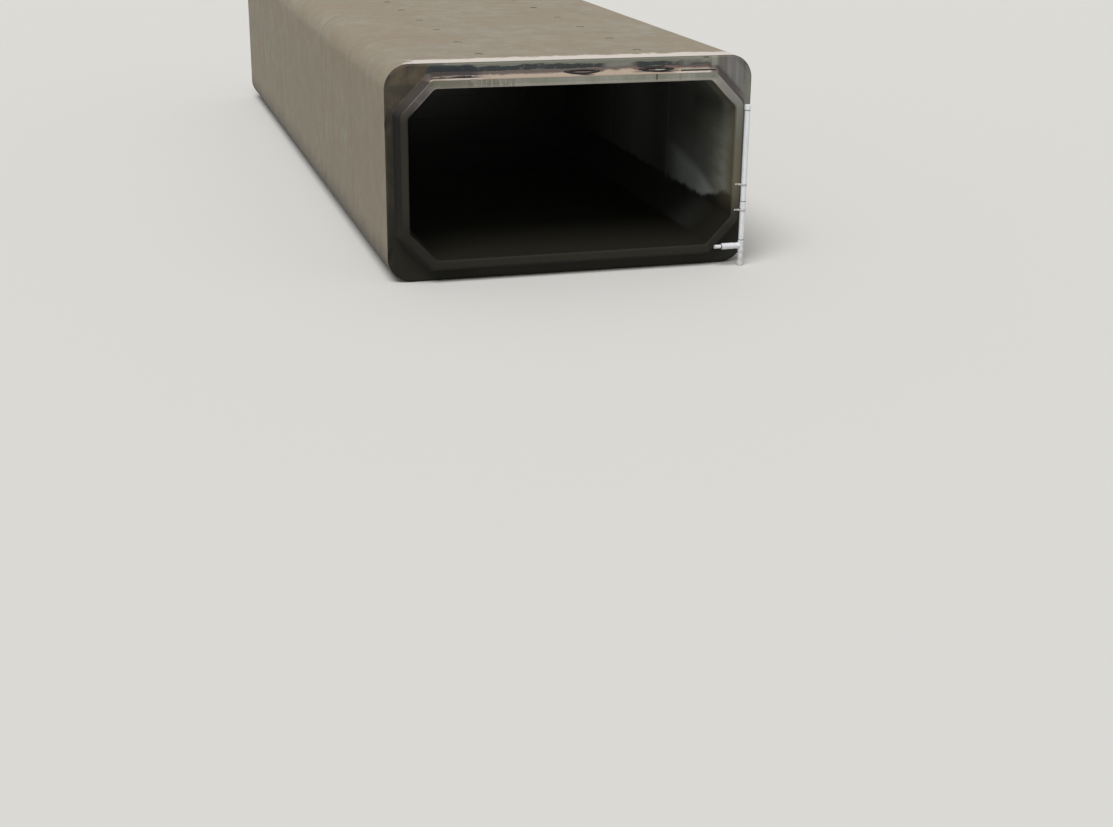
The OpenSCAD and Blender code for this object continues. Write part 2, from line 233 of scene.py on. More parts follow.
def veil(tree, *parts):
    """Mask that is the product of numbers, masks and ramps. A ramp (value, start, end) goes smoothly from
    0 to 1, and a ramp (value, start, end, least, most) from least to most."""
    sockets = ("Value", "From Min", "From Max", "To Min", "To Max")
    masks = [add(tree, "MapRange", zip(sockets, part), interpolation_type="SMOOTHSTEP")
             if isinstance(part, tuple) else part for part in parts]
    product = masks[0]
    for mask in masks[1:]:
        product = add(tree, "Math", {0: product, 1: mask}, operation="MULTIPLY")
    return product


def band(value, low, high, soft):
    """Two ramps whose product is 1 from low to high, with soft edges of that width."""
    return (value, low - soft, low), (value, high + soft, high)


def coats(tree, tone, *layers):
    """Lays coats over a tone, in order. Each is its colour and the parts of the veil it is laid with."""
    for coat, *parts in layers:
        tone = add(tree, "Mix", {0: veil(tree, *parts), 6: tone, 7: coat}, out=2, data_type="RGBA")
    return tone


def wandering(tree, value, place, size, reach):
    """The value moved up and down by reach, by noise of that size, so that a mask's edge wanders."""
    noise = add(tree, "TexNoise", {"Vector": place, "Scale": 1 / (size * MM), "Detail": 3})
    shift = add(tree, "MapRange", {"Value": noise, "From Min": 0.3, "From Max": 0.7,
                                   "To Min": -reach * MM, "To Max": reach * MM})
    return add(tree, "Math", {0: value, 1: shift}, operation="ADD")


def patches(tree, place, size, level, soft=0.08):
    """Mask of cloudy patches of that size, where noise is above the level."""
    noise = add(tree, "TexNoise", {"Vector": place, "Scale": 1 / (size * MM), "Detail": 5, "Roughness": 0.6})
    return veil(tree, (noise, level - soft, level + soft))


def runs(tree, place, width, tall, level, soft=0.07):
    """Mask of upright runs that water has left, of that width and height."""
    scale = [1 / (size * MM) for size in (width, width, tall)]
    stretched = add(tree, "Mapping", {"Vector": place, "Scale": scale})
    noise = add(tree, "TexNoise", {"Vector": stretched, "Scale": 1, "Detail": 3, "Distortion": 0.3})
    return veil(tree, (noise, level - soft, level + soft))


def spot(tree, place, middle, reach):
    """Mask of an ellipse seen from above, given its middle and its half lengths along X and Y."""
    (x, y), (long, wide) = middle, reach
    offset = add(tree, "VectorMath", {0: place, 1: (1 / long, 1 / wide, 0), 2: (-x / long, -y / wide, 0)},
                 operation="MULTIPLY_ADD")
    square = add(tree, "VectorMath", {0: offset, 1: offset}, out="Value", operation="DOT_PRODUCT")
    return veil(tree, (square, 1.1, 0.6))


def outwards(tree, place):
    """Distance beyond the root of the tongue's upper haunches, across the haunch, the same on both sides."""
    s = bpy.context.scene.culvert_sizes
    slant = math.hypot(s.haunch_width, s.haunch_height)
    across = (s.haunch_height / slant, 0, s.haunch_width / slant)
    root = (across[0] * (s.span / 2 - s.haunch_width) + across[2] * (s.rise / 2 + TOP_Z / 2)
            + s.tongue_tip + s.tongue_taper)
    both = add(tree, "VectorMath", {0: place}, operation="ABSOLUTE")
    reach = add(tree, "VectorMath", {0: both, 1: across}, out="Value", operation="DOT_PRODUCT")
    return add(tree, "Math", {0: reach, 1: root}, operation="SUBTRACT")


def cast_tones(tree, place, light, dark):
    """Cast concrete: clouds of 300 mm and 60 mm in two tones, and sand grains drawn 6 mm coarse."""
    grain = add(tree, "TexNoise", {"Vector": place, "Scale": 1 / (6 * MM), "Detail": 2})
    bright = tuple(min(1, 1.35 * part) for part in light)
    return coats(
        tree, light,
        (dark, patches(tree, place, 300, 0.52, 0.14), 0.8),
        (dark, patches(tree, place, 60, 0.58), 0.45),
        (bright, (grain, 0.52, 0.75), 0.35))


def grained(tree, place, size, depth, strength, detail=3, rough=0.5):
    """Normal of a skin that noise of that size raises by up to that depth."""
    noise = add(tree, "TexNoise", {"Vector": place, "Scale": 1 / (size * MM), "Detail": detail,
                                   "Roughness": rough})
    return add(tree, "Bump", {"Height": noise, "Distance": depth * MM, "Strength": strength})


def cast_skin(tree, place, grit=0.7, pits=1.0):
    """Normal of a cast face: sand drawn 9 mm coarse, and the pits, up to 20 mm wide, that air leaves at the
    form."""
    sand = grained(tree, place, 9, grit, 0.6, 4, 0.7)
    cell = add(tree, "TexVoronoi", {"Vector": place, "Scale": 1 / (75 * MM)}, out="Distance")
    pit = veil(tree, (cell, 0.17, 0.09))
    return add(tree, "Bump", {"Height": pit, "Distance": 2 * MM, "Strength": 0.6 * pits, "Normal": sand},
               invert=True)


def coated(material, base, roughness, normal=None, **constants):
    """Ends a material: its colour, its roughness, its normal, and constants on the shader's own sockets."""
    inputs = {"Base Color": base, "Roughness": roughness}
    if normal is not None:
        inputs["Normal"] = normal
    inputs.update({name.replace("_", " "): value for name, value in constants.items()})
    tree = material.node_tree
    add(tree, "OutputMaterial", {"Surface": add(tree, "BsdfPrincipled", inputs)})
    return material


def silt_tones(tree, c, place, x, y):
    """Silt on the ledge: tan at the lip, brown at the root with painted shadow in it, red at the right, dark
    at the far left. Marks under and beside the loops of sealant are ellipses, with their middles measured
    back from the lip; the dark ones just behind the front strands are painted shadow, and a painted shadow
    line runs in front of the root."""
    behind = add(tree, "Math", {0: y, 1: TIP_Y}, operation="SUBTRACT")
    back = wandering(tree, behind, place, 90, 12)
    thin = veil(tree, *band(x, 0.36, 0.62, 0.08))
    back = add(tree, "Math", {0: thin, 1: -26 * MM, 2: back}, operation="MULTIPLY_ADD")
    rear = coats(
        tree, c.ledge_rear_soil_and_shadow,
        (c.red_soil, patches(tree, place, 130, 0.48), (x, 0.1, 0.5), 0.7),
        (c.ledge, (x, 1.1, 1.2), (back, 100 * MM, 80 * MM), 0.55))
    dark = veil(tree, (wandering(tree, x, place, 200, 60), -0.95, -1.12),
                (behind, 12 * MM, 22 * MM), 0.85)
    left = veil(tree, (x, -0.98, -1.1), (x, -1.52, -1.34), 0.75)
    sides = add(tree, "Math", {0: veil(tree, (x, 1.05, 1.2)), 1: left}, operation="MAXIMUM")
    marks = [(mark, spot(tree, place, (across, TIP_Y + along), reach), cover)
             for mark, cover, (across, along), reach in (
                 (c.ledge_rear_soil_and_shadow, 0.8, (0.07, 0.070), (0.2, 0.045)),
                 (c.ledge_rear_soil_and_shadow, 0.8, (0.91, 0.075), (0.2, 0.045)),
                 (c.ledge_rear_soil_and_shadow, 0.8, (0.74, 0.040), (0.12, 0.014)),
                 (c.ledge_rear_soil_and_shadow, 0.8, (1.08, 0.045), (0.1, 0.020)),
                 (c.roof, 0.6, (0.955, 0.074), (0.065, 0.013)),
                 # Painted shadow just behind the front strands of the loops
                 (c.mastic, 0.85, (1.0, 0.027), (0.1, 0.011)),
                 (c.mastic, 0.8, (0.11, 0.014), (0.1, 0.010)))]
    return coats(
        tree, c.ledge,
        # Back of the ledge: brown soil with painted shadow from the shoulder
        (rear, (back, 48 * MM, 88 * MM)),
        (c.haunch_stain_and_shade, (x, 1.1, 1.2), (behind, 89 * MM, 105 * MM), 0.5),
        (coats(tree, c.haunch_stain_and_shade, (c.mastic, 0.4)), dark),
        (c.roof, dark, *band(behind, 56 * MM, 66 * MM, 6 * MM), patches(tree, place, 45, 0.42),
         (x, -1.46, -1.42), 0.6),
        (c.roof, sides, (behind, 24 * MM, 14 * MM), 0.75),
        *marks,
        # Painted shadow line in front of the root, where the ledge meets the shoulder
        (c.mastic, *band(x, 0.74, 1.0, 0.05), (behind, 105 * MM, 113 * MM), 0.75),
        (c.haunch_stain_and_shade, (x, 1.505, 1.535), 0.75))


def rim_concrete(c):
    """Concrete cast in steel forms, weathered at the rim: matt, with olive runs, tan legs and a wet foot,
    painted highlights on its inner edge and haunch crests, and painted shade on the left leg and left
    haunch.
    """
    material, tree, place, (x, y, z) = begin("weathered_rim_concrete")
    top, right = (z, 1.9, 2.1), (x, 1.5, 1.75)
    drawn = add(tree, "Math", {0: veil(tree, *band(x, -1.16, -0.70, 0.06)), 1: 0.42, 2: 0.15},
                operation="MULTIPLY_ADD")
    inner = veil(tree, (y, TIP_Y + 2 * MM, TIP_Y + 5 * MM), (z, 2.14, 2.12))
    aside = add(tree, "Math", {0: x}, operation="ABSOLUTE")
    leg = veil(tree, (x, -1.7, -1.8), (z, 2.0, 1.7))
    tone = coats(
        tree, cast_tones(tree, place, c.rim, c.rim_dark),
        (c.rim_dark, (z, 2.05, 1.75), 0.75),
        (coats(tree, c.ash, (c.roof, 0.3)), patches(tree, place, 240, 0.5, 0.12), 0.45),
        (c.roof, (z, 2.125, 2.1), (z, 2.0, 2.06), 0.3),
        (c.run, (z, 2.15, 2.175), 0.3),
        (c.soil, (z, 1.3, 0.8), patches(tree, place, 120, 0.45, 0.1), 0.6),
        (c.run, top, runs(tree, place, 20, 220, 0.5, 0.12), drawn),
        (c.haunch_stain_and_shade, top, *band(x, 1.15, 1.17, 15 * MM), 0.2),
        (c.mastic, *band(x, 0.889, 0.901, 6 * MM), (z, 2.09, 2.125), 0.75),
        (c.rim_dark, right, 0.8),
        (c.ash, right, (z, 1.5, 1.8), 0.4),
        (c.run, right, (z, 1.8, 1.2), 0.75),
        (c.shade, right, *band(z, 1.42, 1.7, 0.15), 0.2),
        (c.run, (x, -1.05, -1.28), 0.58),
        # Left haunch darkened by stain and by painted shade
        (c.haunch_stain_and_shade, (x, -1.5, -1.66), patches(tree, place, 200, 0.36, 0.12), 0.85),
        # Painted highlight on the rounded inner edge of the upper haunches and top
        (c.roof, inner, (z, 1.8, 1.95), 0.42),
        (c.run, inner, (z, 1.9, 1.7), 0.7),
        # Painted highlight along the crest of the rim's upper haunches
        (c.roof, *band(outwards(tree, place), -59 * MM, -45 * MM, 4 * MM), (aside, 1.55, 1.6),
         (z, 1.8, 1.9), 0.5),
        # Painted shade on the left leg, with damp growth in it; the wet colour darkens its outer edge more
        (c.shade, leg, 0.9),
        (c.wet, leg, (x, -1.895, -1.915, 0.6, 0.8)),
        (c.wet, (wandering(tree, z, place, 150, 30), *WET_FOOT), 0.97))
    return coated(material, tone, 0.88, cast_skin(tree, place), Specular_IOR_Level=0.3)


def ledge_concrete(c):
    """The tongue's outer slope: dried silt at its lip, brown soil and painted shadow at its root, haunches
    darkened by stain and by painted shade, and painted shade on the left side.
    """
    material, tree, place, (x, y, z) = begin("silted_ledge_concrete")
    tone = cast_tones(tree, place, c.rim, c.rim_dark)
    dusty = coats(
        tree, tone,
        (c.ledge, patches(tree, place, 50, 0.42), 0.9),
        (silt_tones(tree, c, place, x, y), 0.9))
    left = (x, -1.5, -1.6)
    tone = coats(
        tree, tone,
        # Haunch slopes darkened by stain and by painted shade
        (c.haunch_stain_and_shade, patches(tree, place, 110, 0.3, 0.1), 0.95),
        (c.soil, left, (z, 1.85, 2.0), 0.12),
        # Right haunch darker still: stain and painted shade
        (c.haunch_stain_and_shade, (x, 1.56, 1.62), 0.85),
        # Painted shade on the left side, with damp growth in it: the shade, wet and mastic colours
        (c.shade, left, 0.5),
        (c.wet, left, 0.32),
        (c.mastic, (x, -1.7, -1.85), (z, 2.0, 1.75), 0.97),
        (dusty, (z, 2.15, 2.175)),
        (c.wet, (z, *WET_FOOT), 0.95))
    return coated(material, tone, 0.9, cast_skin(tree, place), Specular_IOR_Level=0.3)


def shoulder_concrete(c):
    """The set-back end face: a pale strip, a slate band of old mastic wash, runs, soil, painted shade on the
    left side and a wet foot.
    """
    material, tree, place, (x, y, z) = begin("stained_shoulder_concrete")
    edge = wandering(tree, z, place, 130, 12)
    gap = add(tree, "Math", {0: veil(tree, (x, 0.42, 0.28)), 1: veil(tree, (x, 0.58, 0.75))},
              operation="MAXIMUM")
    smear = veil(tree, *band(edge, 2.240, 2.286, 9 * MM), (x, 1.62, 1.3), gap, (x, 1.27, 1.15, 0.35, 1))
    above = (z, 1.8, 2.1)
    reach = wandering(tree, outwards(tree, place), place, 150, 12)
    cloudy = add(tree, "Math", {0: patches(tree, place, 160, 0.45, 0.2), 1: 0.4, 2: 0.55},
                 operation="MULTIPLY_ADD")
    upright = [(c.haunch_stain_and_shade, *band(x, low, high, 20 * MM), cover)
               for low, high, cover in ((1.67, 1.75, 0.35), (1.81, 1.85, 0.25), (1.90, 2.00, 0.25))]
    tone = coats(
        tree, cast_tones(tree, place, c.shoulder, c.rim_dark),
        (c.ash, patches(tree, place, 200, 0.5, 0.12), 0.5),
        (c.rim_dark, (x, 1.5, 1.1), (z, 2.27, 2.30), 0.8),
        (c.slate_stain, smear, patches(tree, place, 240, 0.34, 0.12),
         runs(tree, place, 60, 120, 0.3, 0.16), 0.92),
        (c.slate_stain, *band(x, 1.34, 1.55, 40 * MM), (edge, 2.272, 2.255), 0.55),
        (c.ash, (x, 1.62, 1.78), above, 0.75),
        (c.haunch_stain_and_shade, runs(tree, place, 55, 900, 0.5, 0.1), (x, 1.6, 1.66), above, 0.3),
        (c.roof, *band(x, 1.58, 1.625, 20 * MM), (z, 2.21, 2.25), 0.16),
        *upright,
        (c.rim_dark, (z, 2.1, 1.8), 0.7),
        (c.haunch_stain_and_shade, (reach, 62 * MM, 20 * MM), (x, 1.56, 1.64), (z, 1.8, 1.98),
         (z, 2.245, 2.205), 0.8),
        (c.haunch_stain_and_shade, (reach, 200 * MM, 245 * MM), (x, 1.7, 1.8), 0.4),
        (c.rim_dark, (x, 1.96, 2.01), 0.6),
        (c.slate_stain, (wandering(tree, x, place, 150, 90), -0.95, -1.2),
         (edge, 2.318, 2.292), 0.9),
        (c.slate_stain, (x, -1.38, -1.46), 0.6),
        # Left side: painted shade, with soil and damp growth in it
        (coats(tree, c.soil, (c.shade, cloudy)),
         (wandering(tree, x, place, 150, 20), -1.56, -1.62), 0.9),
        (c.wet, (x, -1.7, -1.85), (z, 2.0, 1.7), 0.7),
        (c.shade, (y, SHOULDER_Y + 4 * MM, SHOULDER_Y + 8 * MM), 0.45),
        (c.wet, (wandering(tree, z, place, 150, 40), *WET_FOOT), 0.95))
    return coated(material, tone, 0.88, cast_skin(tree, place), Specular_IOR_Level=0.3)


def buried_concrete(c):
    """Outer faces that lay in the fill: a bleached strip along the roof's front edge, and soil stains."""
    material, tree, place, (x, y, z) = begin("soil_stained_concrete")
    soil = coats(tree, c.soil, (c.side, 0.35))
    tone = coats(
        tree, cast_tones(tree, place, c.side, c.rim_dark),
        (soil, patches(tree, place, 900, 0.44, 0.25), 0.75),
        (soil, patches(tree, place, 150, 0.5, 0.16), 0.6),
        (c.soil, patches(tree, place, 40, 0.6), 0.4),
        (c.rim_dark, runs(tree, place, 45, 900, 0.55), (z, 2.2, 1.5), 0.4),
        (c.roof, (wandering(tree, y, place, 160, 60), SHOULDER_Y + 0.3, SHOULDER_Y + 0.22),
         (wandering(tree, z, place, 60, 12), TOP_Z - 35 * MM, TOP_Z - 12 * MM),
         (wandering(tree, x, place, 120, 90), -1.80, -1.72), 0.92),
        (c.haunch_stain_and_shade, (wandering(tree, z, place, 200, 60), 0.5, 0.1), 0.7))
    return coated(material, tone, 0.92, cast_skin(tree, place, 0.9))


def inner_concrete(c):
    """Waterway faces: olive at the mouth, grey and then dark inside, partly damp and partly painted shade,
    painted shade under the ceiling near the mouth, and dried silt over a wet foot. The walls are seen along
    their length, so their tones change with depth and height more than in patches."""
    material, tree, place, (x, y, z) = begin("damp_waterway_concrete")

    def depth(start, end, most=1, least=0):
        """Ramp from least to most between two depths behind the shoulder."""
        return y, SHOULDER_Y + start, SHOULDER_Y + end, least, most

    gone = depth(2.2, 1.3)
    drawn = add(tree, "Mapping", {"Vector": place, "Scale": (1, 0.22, 1)})
    top = add(tree, "Math", {0: y, 1: -0.14, 2: 0.14 * SHOULDER_Y}, operation="MULTIPLY_ADD")
    top = add(tree, "Math", {0: z, 1: top}, operation="ADD")
    foot = add(tree, "Math", {0: wandering(tree, z, place, 200, 22),
                              1: veil(tree, depth(0.9, 0.0, 0.21))}, operation="SUBTRACT")
    start = add(tree, "Math", {0: z, 1: -2.0, 2: y}, operation="MULTIPLY_ADD")
    film = coats(
        tree, c.wet,
        (c.deep, depth(0.3, 0.9, 0.5)),
        (c.run, (z, 0.5, 1.0), depth(0.6, 0.15)),
        (c.wet, (z, 0.30, 0.26)))
    tone = coats(tree, cast_tones(tree, place, c.damp, tuple(0.93 * part for part in c.damp)),
                 # Darker with depth: damp concrete, and painted shade
                 (c.deep, depth(0.2, 1.2, 0.88, 0.27), depth(2.3, 3.3, 0.6, 1)),
                 (c.run, depth(0.2, -0.14, 0.9)),
                 # Painted shade under the ceiling's haunches near the mouth, in two coats
                 (c.deep, (z, 1.4, 1.75), depth(0.1, 0.4), depth(1.3, 1.0), 0.85),
                 (c.shade, (z, 1.74, 1.86), depth(-0.12, 0.05), depth(0.5, 0.3), 0.5),
                 (c.run, patches(tree, drawn, 110, 0.5, 0.15), depth(1.6, 0.4), 0.3),
                 (c.silt, (z, 1.45, 1.0), depth(0.5, 1.0), gone, 0.22),
                 (c.silt, (foot, 0.57, 0.66), (top, 0.85, 0.68), gone,
                  (start, SHOULDER_Y - 1.15, SHOULDER_Y - 0.75), (x, 1.7, 1.8),
                  patches(tree, place, 210, 0.26, 0.16), 0.88),
                 (film, (foot, 0.63, 0.57)),
                 # Near black deep inside: wet film, and painted shade
                 (c.wet, depth(3.2, 6.0, 0.9)))
    return coated(material, tone, 0.95, cast_skin(tree, place), Specular_IOR_Level=0.1)


def formed_concrete(c):
    """Groove and back end: concrete as it left the form, pale and matt, with a little soil."""
    material, tree, place, _ = begin("clean_formed_concrete")
    tone = coats(
        tree, cast_tones(tree, place, c.formed, c.rim_dark),
        (c.soil, patches(tree, place, 90, 0.6), 0.5))
    return coated(material, tone, 0.85, cast_skin(tree, place, 0.5))


def mortar_finish(c):
    """Cement mortar, trowelled: pale grey, sandy, dark where damp, and darker deep inside the waterway,
    partly painted shade.
    """
    material, tree, place, (_, y, z) = begin("trowelled_mortar")
    under = (z, 2.2, 2.1)
    tone = coats(
        tree, c.mortar,
        (c.rim_dark, patches(tree, place, 70, 0.5, 0.12), 0.7),
        # Darker deep inside the waterway: damp, and painted shade
        (c.deep, under, (y, TIP_Y + 1.6, TIP_Y + 5), 0.9),
        (c.deep, under, 0.55),
        (c.wet, (z, 0.62, 0.5), 0.9))
    return coated(material, tone, 0.93, cast_skin(tree, place, 1.2, 0.3), Specular_IOR_Level=0.2)


def mastic_finish(c):
    """Bituminous joint mastic, extruded and long dried: near black, dull, dusted in patches."""
    material, tree, place, (x, y, _) = begin("aged_bitumen_mastic")
    tone = coats(
        tree, c.mastic,
        (c.ledge_rear_soil_and_shadow, patches(tree, place, 26, 0.6, 0.1), 0.2),
        (c.ledge, (x, -1.28, -1.42), patches(tree, place, 60, 0.42, 0.12), 0.5),
        (c.roof, (x, 1.15, 1.2), (y, TIP_Y + 29 * MM, TIP_Y + 36 * MM),
         (y, SHOULDER_Y, SHOULDER_Y - 10 * MM), patches(tree, place, 40, 0.35, 0.1), 0.8))
    return coated(material, tone, 0.62, grained(tree, place, 14, 2, 0.7))


def pipe_finish(c):
    """Rigid PVC, extruded pipe and moulded fittings: white and satin, dark rings at the joints, silt at the
    foot.
    """
    material, tree, place, (x, _, z) = begin("white_pvc")
    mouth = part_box("arm_reducer")[0].x
    levels = (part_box("riser_cap")[0].z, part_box("riser_coupling")[1].z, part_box("intake_tee")[1].z)
    rings = [band(z, level - 3 * MM, level + 3 * MM, 2 * MM) for level in levels]
    rings.append(band(x, mouth - 4 * MM, mouth + 2 * MM, 2 * MM))
    tone = coats(
        tree, c.pipe,
        (c.silt, patches(tree, place, 45, 0.55, 0.12), 0.22),
        (c.soil, runs(tree, place, 9, 300, 0.6), 0.22),
        (c.soil, (wandering(tree, z, place, 60, 60), 0.42, 0.0),
         patches(tree, place, 16, 0.48, 0.12), 0.5),
        *((c.haunch_stain_and_shade, *ring, 0.9) for ring in rings))
    return coated(material, tone, 0.38, grained(tree, place, 30, 0.5, 0.3, 1), IOR=1.53)


def strap_finish(c):
    """Moulded plastic strap: white, matt, darker where it goes round the pipe."""
    material, tree, place, (x, _, _) = begin("white_moulded_strap")
    tone = coats(
        tree, c.strap,
        (c.soil, patches(tree, place, 20, 0.55, 0.15), 0.2),
        (c.haunch_stain_and_shade, (x, 1.915, 1.925), 0.35))
    return coated(material, tone, 0.5, IOR=1.49)


def zinc_finish(c):
    """Steel anchor, zinc plated: dull grey metal with small patches of rust."""
    material, tree, place, _ = begin("dull_zinc_plated_steel")
    rust = patches(tree, place, 6, 0.56, 0.06)
    metal = add(tree, "Math", {0: 1.0, 1: rust}, operation="SUBTRACT")
    return coated(material, coats(tree, c.zinc, (c.rust, rust)), 0.55, Metallic=metal)


def silt_finish(c):
    """Dried silt and road grit: tan where it is thin at the front, red brown at the back with painted shadow
    in it, painted shadow behind the sealant's front strands, granular.
    """
    material, tree, place, (x, y, _) = begin("dried_silt")
    grit = add(tree, "TexNoise", {"Vector": place, "Scale": 1 / (7 * MM), "Detail": 4, "Roughness": 0.8})
    tone = coats(tree, silt_tones(tree, c, place, x, y), (c.haunch_stain_and_shade, (grit, 0.55, 0.7), 0.5))
    skin = add(tree, "Bump", {"Height": grit, "Distance": 3 * MM, "Strength": 0.8})
    return coated(material, tone, 0.97, skin, Specular_IOR_Level=0.2)


def pebble_finish(c):
    """Road gravel, crushed and rounded: pink grey, slate and brown stones."""
    material, tree, place, _ = begin("road_gravel")
    shade = add(tree, "TexVoronoi", {"Vector": place, "Scale": 1 / (28 * MM)}, out="Color")
    red, green, _ = add(tree, "SeparateColor", {0: shade}).node.outputs
    tone = coats(tree, c.pebble, (c.slate_stain, (red, 0.55, 0.8)), (c.soil, (green, 0.7, 0.9)))
    return coated(material, tone, 0.85, grained(tree, place, 4, 0.8, 0.6))


def value_noise(points, cell, seed):
    """Smooth noise from 0 to 1: random values on a lattice of that cell, the fraction of a large sine, are
    blended between the eight lattice points round each point by 3t^2 - 2t^3."""
    base = np.floor(points / cell)
    t = points / cell - base
    t = t * t * (3 - 2 * t)
    total = 0
    for corner in np.ndindex(2, 2, 2):
        wave = np.sin((base + corner) @ np.array([127.1, 311.7, 74.7]) + 53.3 * seed) * 43758.5453
        total = total + (wave - np.floor(wave)) * np.prod(np.where(corner, t, 1 - t), axis=-1)
    return total


def octagon(x, z, a, b):
    """Eight corners of a cut rectangle round the centre line: half sizes x and z, straight runs a and b."""
    return np.array([[x, -b], [x, b], [a, z], [-a, z], [-x, b], [-x, -b], [-a, -z], [a, -z]])


def waterway(s, grow):
    """The haunched outline moved outwards by grow. A corner moves so that both its faces move by that much:
    by grow (1 - cos) / sin of the haunch's angle along the slab or the wall."""
    slant = math.hypot(s.haunch_width, s.haunch_height)
    nx, nz = s.haunch_height / slant, s.haunch_width / slant
    return octagon(s.span / 2 + grow, s.rise / 2 + grow,
                   s.span / 2 - s.haunch_width + grow * (1 - nz) / nx,
                   s.rise / 2 - s.haunch_height + grow * (1 - nx) / nz)


def eased(ring, ease):
    """Puts two corners in the place of each corner of an outline, on its two edges, that far from it."""
    ahead = np.roll(ring, -1, 0) - ring
    ahead /= np.linalg.norm(ahead, axis=1, keepdims=True)
    return np.stack([ring - ease * np.roll(ahead, 1, 0), ring + ease * ahead], 1).reshape(-1, 2)


def section_corners(s, tip, back):
    """The wall's ten corners, each carried round the outline's sixteen corners, as a 10 x 16 x 3 array."""
    tongue = SHOULDER_Y - TIP_Y
    taper = s.tongue_taper / tongue
    groove = s.tongue_tip + s.joint_clear

    def inner(grow):
        """The waterway's outline moved outwards."""
        return eased(waterway(s, grow), WATERWAY_EASE)

    def outer(shrink):
        """The outside's outline moved inwards, with its cut corners shortened to move by as much."""
        x, z = HALF_WIDTH - shrink, TOP_Z / 2 - shrink
        cut = s.corner_cut - shrink * (2 - math.sqrt(2))
        return eased(octagon(x, z, x - cut, z - cut), s.corner_ease)

    stations = [
        (inner(0), tip + s.rim_arris), (inner(0), back - tongue),
        (inner(groove - taper * JOINT_GAP), back - tongue),
        (inner(groove + taper * (tongue - JOINT_GAP)), back),
        (outer(0), back),
        (outer(0), tip + tongue + s.shoulder_arris), (outer(s.shoulder_arris), tip + tongue),
        (inner(s.tongue_tip + s.tongue_taper), tip + tongue), (inner(s.tongue_tip), tip),
        (inner(s.rim_arris), tip),
    ]
    return np.array([[(x, y, z + TOP_Z / 2) for x, z in ring] for ring, y in stations])


def rounded(lengths, radii, counts):
    """Weights on the corners of a closed outline for points along it. A run from corner a to b is
    (1 - t)a + tb, with its steps crowded towards its ends. A rounded corner c between the ends p and q of
    its two runs is (1 - s)^2 p + 2s(1 - s)c + s^2 q. Also returns the edge that each point belongs to."""
    bend, crowding = 4, 0.75
    count = len(lengths)
    corner = np.eye(count)
    s = np.linspace(0, 1, bend + 1)[1:-1, None]
    rows, edges = [], []
    for k in range(count):
        after = (k + 1) % count
        start, end = radii[k] / lengths[k], 1 - radii[after] / lengths[k]
        t = np.linspace(0, 1, counts[k])[:, None]
        t = start + (end - start) * (t - crowding * np.sin(2 * np.pi * t) / (2 * np.pi))
        run = (1 - t) * corner[k] + t * corner[after]
        q = corner[after] + (corner[(k + 2) % count] - corner[after]) * radii[after] / lengths[after]
        rows += [run, (1 - s) ** 2 * run[-1] + 2 * s * (1 - s) * corner[after] + s ** 2 * q]
        edges += [k] * (len(run) + bend // 2) + [after] * (bend - 1 - bend // 2)
    return np.vstack(rows), np.array(edges)


def section_surface(corners, step):
    """The section as a closed grid: profile weights A (v, k), outline weights B (k, u, c), which round each
    outline by its own eases, and corners C (k, c, 3) give the points A B C. Also returns the corner lines
    and the profile edge of each row."""
    along = np.linalg.norm(np.roll(corners, -1, 0) - corners, axis=-1).min(1)
    # Radii of the wall's ten corners
    radii = [radius * MM for radius in (7, 8, 6, 8, 12, 9, 9, 8, 13, 7)]
    profile, zones = rounded(along, radii, [max(3, math.ceil(v / step)) for v in along])
    around = np.linalg.norm(np.roll(corners, -1, 1) - corners, axis=-1)
    counts = [max(3, math.ceil(v / step)) for v in around.max(0)]
    rings = np.array([rounded(row, [0.45 * row.min()] * len(row), counts)[0] for row in around])
    lines = np.einsum("kuc,kcd->kud", rings, corners)
    return np.einsum("vk,kud->vud", profile, lines), lines, zones


def bitten(points, spots, size, count, seed):
    """Bites out of the arrises. Each is an ellipsoid, twice as long along the arris, whose centre lies
    outside the edge; a point inside it moves out from the centre onto its surface, into the concrete. The
    tongue's right side is left whole, where the straps are fixed."""
    random = np.random.default_rng(seed)
    corners = [0, 9, 8, 8, 8, 5, 6, 6, 4, 3, 1]
    for _ in range(count):
        k = random.choice(corners)
        u = random.integers(spots.shape[1])
        here = spots[k, u]
        radius = size * random.uniform(0.3, 1) ** 1.5
        depth = radius * random.uniform(0.12, 0.3)
        arms = [spots[k - 1, u] - here, spots[(k + 1) % len(spots), u] - here]
        out = -sum(arm / np.linalg.norm(arm) for arm in arms)
        along = spots[k, (u + 1) % spots.shape[1]] - spots[k, u - 1]
        along = along / np.linalg.norm(along)
        centre = here + out / np.linalg.norm(out) * (radius - depth)
        by_the_straps = here[0] > 1.8 and here[2] < 1.9 and here[1] < SHOULDER_Y
        if by_the_straps:
            continue
        offset = points - centre
        reach = np.linalg.norm(offset - 0.5 * (offset @ along)[..., None] * along, axis=-1)
        inside = reach < radius
        points[inside] = centre + offset[inside] * (radius / reach[inside])[:, None]
    return points


def worn(points, seed):
    """Moves a closed grid inwards along its normals by up to 2 mm of slow waves and 1 mm of fine ones. The
    wear fades out towards the underside, which rests on the bedding and stays flat."""
    down = np.roll(points, -1, 0) - np.roll(points, 1, 0)
    across = np.roll(points, -1, 1) - np.roll(points, 1, 1)
    normal = np.cross(down, across)
    normal /= np.linalg.norm(normal, axis=-1, keepdims=True) + 1e-12
    if np.sum(normal * (points - points.mean((0, 1)))) < 0:
        normal = -normal
    depth = 2 * MM * value_noise(points, 0.5, seed) + 1 * MM * value_noise(points, 0.06, seed + 1)
    unworn = 40 * MM
    depth *= np.clip(points[..., 2] / unworn, 0, 1)
    return points - normal * depth[..., None]


def put(name, data):
    """Adds an object with that data to the scene and returns it."""
    item = bpy.data.objects.new(name, data)
    bpy.context.scene.collection.objects.link(item)
    return item


